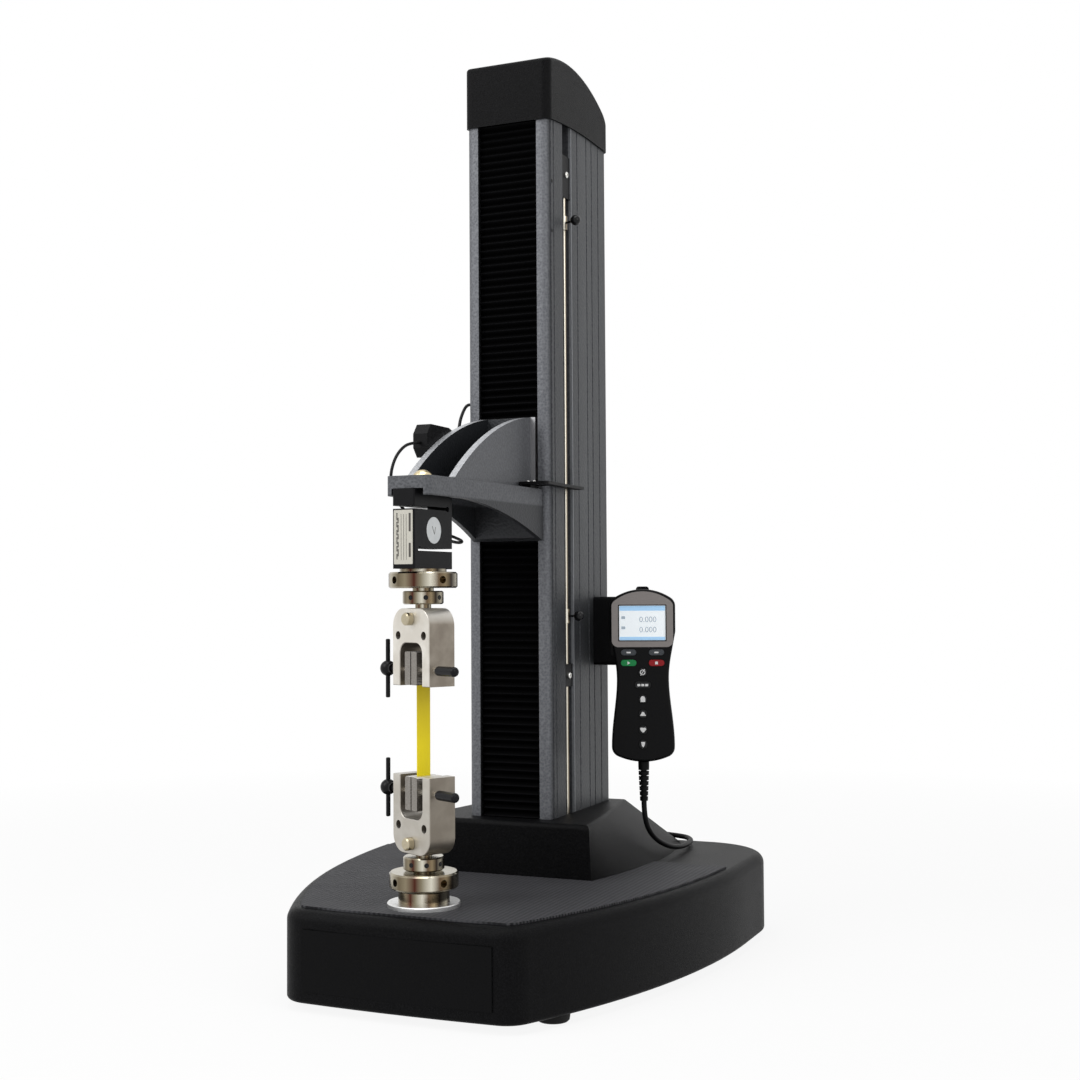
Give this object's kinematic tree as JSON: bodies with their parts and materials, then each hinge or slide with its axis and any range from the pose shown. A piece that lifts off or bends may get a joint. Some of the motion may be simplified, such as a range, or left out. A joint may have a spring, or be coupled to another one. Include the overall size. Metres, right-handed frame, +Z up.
{
  "type": "universal testing machine",
  "caption": "Bench-top single-column materials tester with a travelling crosshead, load cell, clamping grips and a corded control handset.",
  "frame": {"origin": "on the bench, in the middle of the base's footprint", "axes": "+Z up along the column, +X to the machine's right, +Y towards its back"},
  "size_m": [0.434, 0.5299, 0.9623],
  "materials": {
    "hammered_grey": "hammered paint, mid grey",
    "textured_black": "fine textured black paint",
    "mat_rubber": "finely ribbed dark grey mat",
    "black_rubber": "matte",
    "bellows_black": "pleated, matte",
    "plain_steel": "machined steel",
    "nickel": "bright turned nickel plate",
    "satin_nickel": "satin, warm grey",
    "gilt_bolt": "yellow passivated",
    "aluminium_disc": "turned",
    "cell_black": "satin black",
    "black_plastic": "fine grained",
    "gloss_black": "gloss",
    "handset_black": "satin",
    "key_grey": "satin",
    "key_green": "satin",
    "key_red": "satin",
    "cord_black": "smooth flexible sheath",
    "strip_yellow": "semi-gloss elastomer"
  },
  "bodies": {
    "root": {"base_housing": "textured_black", "base_plate": "plain_steel", "base_feet": "black_rubber", "work_mat": "mat_rubber", "column_plinth": "textured_black", "column_extrusion": "hammered_grey", "top_cap": "textured_black", "upper_bellows": "bellows_black", "lower_bellows": "bellows_black", "screw_bearings": "plain_steel", "drive_motor": "black_plastic", "rod_guides": "black_plastic", "base_disc": "aluminium_disc", "lower_adapter": "nickel", "lower_grip_body": "satin_nickel", "test_specimen": "strip_yellow", "column_lead": "cord_black", "handset_holder": "black_plastic", "handset_cord": "cord_black", "mains_inlet": "black_plastic"},
    "crosshead": {"crosshead_casting": "hammered_grey", "carriage": "plain_steel", "limit_flag": "textured_black", "cell_bolt": "gilt_bolt", "load_cell": "cell_black", "cell_connector": "black_plastic", "cell_lead": "cord_black", "upper_adapter": "nickel", "upper_grip_body": "satin_nickel"},
    "ball_screw": {"ball_screw": "plain_steel"},
    "limit_rod": {"limit_rod": "nickel"},
    "upper_stop": {"upper_stop": "nickel"},
    "lower_stop": {"lower_stop": "nickel"},
    "upper_stop_knob": {"upper_stop_knob": "gloss_black"},
    "lower_stop_knob": {"lower_stop_knob": "gloss_black"},
    "upper_lock_ring": {"upper_lock_ring": "nickel"},
    "lower_lock_ring": {"lower_lock_ring": "nickel"},
    "handset": {"handset_front": "handset_black", "handset_back": "handset_black"},
    "power_switch": {"power_switch": "gloss_black"},
    "upper_clevis_pin": {"upper_clevis_pin": "nickel"},
    "upper_left_jaw": {"upper_left_jaw": "satin_nickel"},
    "upper_t_handle_screw": {"upper_t_handle_screw": "gloss_black"},
    "upper_right_jaw": {"upper_right_jaw": "satin_nickel"},
    "upper_sleeve_screw": {"upper_sleeve_screw": "gloss_black"},
    "lower_clevis_pin": {"lower_clevis_pin": "nickel"},
    "lower_left_jaw": {"lower_left_jaw": "satin_nickel"},
    "lower_t_handle_screw": {"lower_t_handle_screw": "gloss_black"},
    "lower_right_jaw": {"lower_right_jaw": "satin_nickel"},
    "lower_sleeve_screw": {"lower_sleeve_screw": "gloss_black"},
    "function_key_left": {"function_key_left": "key_grey"},
    "function_key_right": {"function_key_right": "key_grey"},
    "start_key": {"start_key": "key_green"},
    "stop_key": {"stop_key": "key_red"},
    "zero_key": {"zero_key": "handset_black"},
    "menu_key": {"menu_key": "handset_black"},
    "fast_up_key": {"fast_up_key": "handset_black"},
    "slow_up_key": {"slow_up_key": "handset_black"},
    "slow_down_key": {"slow_down_key": "handset_black"},
    "fast_down_key": {"fast_down_key": "handset_black"}
  },
  "joints": [
    {"name": "crosshead_travel", "type": "slide", "parent": "root", "child": "crosshead", "axis": [0, 0, 1], "range_m": [-0.05, 0.27], "deforming": ["upper_bellows", "lower_bellows", "test_specimen"]},
    {"name": "ball_screw_turn", "type": "hinge", "parent": "root", "child": "ball_screw", "pos_m": [0, 0.106, 0.5], "axis": [0, 0, 1], "range_deg": [-910, 4870]},
    {"name": "limit_rod_slide", "type": "slide", "parent": "root", "child": "limit_rod", "axis": [0, 0, 1], "range_m": [-0.003, 0.003], "stiffness_N_per_m": 900},
    {"name": "upper_stop_slide", "type": "slide", "parent": "limit_rod", "child": "upper_stop", "axis": [0, 0, 1], "range_m": [-0.25, 0.016]},
    {"name": "lower_stop_slide", "type": "slide", "parent": "limit_rod", "child": "lower_stop", "axis": [0, 0, 1], "range_m": [-0.038, 0.12]},
    {"name": "upper_stop_knob_turn", "type": "hinge", "parent": "upper_stop", "child": "upper_stop_knob", "pos_m": [0.043, 0.043, 0.7865], "axis": [0.891, -0.454, 0], "range_deg": [-180, 180]},
    {"name": "lower_stop_knob_turn", "type": "hinge", "parent": "lower_stop", "child": "lower_stop_knob", "pos_m": [0.043, 0.043, 0.3605], "axis": [1, 0, 0], "range_deg": [-180, 180]},
    {"name": "upper_lock_ring_turn", "type": "hinge", "parent": "crosshead", "child": "upper_lock_ring", "pos_m": [0, -0.206, 0.3976], "axis": [0, 0, 1], "range_deg": [-60, 60]},
    {"name": "lower_lock_ring_turn", "type": "hinge", "parent": "root", "child": "lower_lock_ring", "pos_m": [0, -0.206, 0.1195], "axis": [0, 0, 1], "range_deg": [-60, 60]},
    {"name": "upper_clevis_pin_slide", "type": "slide", "parent": "crosshead", "child": "upper_clevis_pin", "axis": [-0.4695, -0.8829, 0], "range_m": [0, 0.042]},
    {"name": "upper_left_jaw_slide", "type": "slide", "parent": "crosshead", "child": "upper_left_jaw", "axis": [-0.8829, 0.4695, 0], "range_m": [0, 0.006]},
    {"name": "upper_t_handle_screw_turn", "type": "hinge", "parent": "upper_left_jaw", "child": "upper_t_handle_screw", "pos_m": [-0.02142, -0.20367, 0.314], "axis": [-0.8829, 0.4695, 0], "range_deg": [-5, 725]},
    {"name": "upper_right_jaw_slide", "type": "slide", "parent": "crosshead", "child": "upper_right_jaw", "axis": [0.8829, -0.4695, 0], "range_m": [0, 0.006]},
    {"name": "upper_sleeve_screw_turn", "type": "hinge", "parent": "upper_right_jaw", "child": "upper_sleeve_screw", "pos_m": [0.0139, -0.22245, 0.314], "axis": [0.8829, -0.4695, 0], "range_deg": [-5, 725]},
    {"name": "lower_clevis_pin_slide", "type": "slide", "parent": "root", "child": "lower_clevis_pin", "axis": [-0.4695, -0.8829, 0], "range_m": [0, 0.042]},
    {"name": "lower_left_jaw_slide", "type": "slide", "parent": "root", "child": "lower_left_jaw", "axis": [-0.8829, 0.4695, 0], "range_m": [0, 0.006]},
    {"name": "lower_t_handle_screw_turn", "type": "hinge", "parent": "lower_left_jaw", "child": "lower_t_handle_screw", "pos_m": [-0.02142, -0.20367, 0.201], "axis": [-0.8829, 0.4695, 0], "range_deg": [-5, 725]},
    {"name": "lower_right_jaw_slide", "type": "slide", "parent": "root", "child": "lower_right_jaw", "axis": [0.8829, -0.4695, 0], "range_m": [0, 0.006]},
    {"name": "lower_sleeve_screw_turn", "type": "hinge", "parent": "lower_right_jaw", "child": "lower_sleeve_screw", "pos_m": [0.0139, -0.22245, 0.201], "axis": [0.8829, -0.4695, 0], "range_deg": [-5, 725]},
    {"name": "handset_lift", "type": "slide", "parent": "root", "child": "handset", "axis": [0, 0, 1], "range_m": [0, 0.07]},
    {"name": "function_key_left_press", "type": "slide", "parent": "handset", "child": "function_key_left", "axis": [-0.309, 0.9511, 0], "range_m": [0, 0.0012], "stiffness_N_per_m": 400},
    {"name": "function_key_right_press", "type": "slide", "parent": "handset", "child": "function_key_right", "axis": [-0.309, 0.9511, 0], "range_m": [0, 0.0012], "stiffness_N_per_m": 400},
    {"name": "start_key_press", "type": "slide", "parent": "handset", "child": "start_key", "axis": [-0.309, 0.9511, 0], "range_m": [0, 0.0012], "stiffness_N_per_m": 400},
    {"name": "stop_key_press", "type": "slide", "parent": "handset", "child": "stop_key", "axis": [-0.309, 0.9511, 0], "range_m": [0, 0.0012], "stiffness_N_per_m": 400},
    {"name": "zero_key_press", "type": "slide", "parent": "handset", "child": "zero_key", "axis": [-0.309, 0.9511, 0], "range_m": [0, 0.0012], "stiffness_N_per_m": 400},
    {"name": "menu_key_press", "type": "slide", "parent": "handset", "child": "menu_key", "axis": [-0.309, 0.9511, 0], "range_m": [0, 0.0012], "stiffness_N_per_m": 400},
    {"name": "fast_up_key_press", "type": "slide", "parent": "handset", "child": "fast_up_key", "axis": [-0.309, 0.9511, 0], "range_m": [0, 0.0012], "stiffness_N_per_m": 400},
    {"name": "slow_up_key_press", "type": "slide", "parent": "handset", "child": "slow_up_key", "axis": [-0.309, 0.9511, 0], "range_m": [0, 0.0012], "stiffness_N_per_m": 400},
    {"name": "slow_down_key_press", "type": "slide", "parent": "handset", "child": "slow_down_key", "axis": [-0.309, 0.9511, 0], "range_m": [0, 0.0012], "stiffness_N_per_m": 400},
    {"name": "fast_down_key_press", "type": "slide", "parent": "handset", "child": "fast_down_key", "axis": [-0.309, 0.9511, 0], "range_m": [0, 0.0012], "stiffness_N_per_m": 400},
    {"name": "power_switch_rock", "type": "hinge", "parent": "root", "child": "power_switch", "pos_m": [-0.088, 0.2576, 0.05], "axis": [1, 0, 0], "range_deg": [0, 20]}
  ],
  "couplings": [
    {"joint": "ball_screw_turn", "follows": "crosshead_travel", "rad_per_m": 314.16},
    {"joint": "upper_t_handle_screw_turn", "follows": "upper_left_jaw_slide", "rad_per_m": 2094.4},
    {"joint": "upper_sleeve_screw_turn", "follows": "upper_right_jaw_slide", "rad_per_m": 2094.4},
    {"joint": "lower_t_handle_screw_turn", "follows": "lower_left_jaw_slide", "rad_per_m": 2094.4},
    {"joint": "lower_sleeve_screw_turn", "follows": "lower_right_jaw_slide", "rad_per_m": 2094.4}
  ]
}
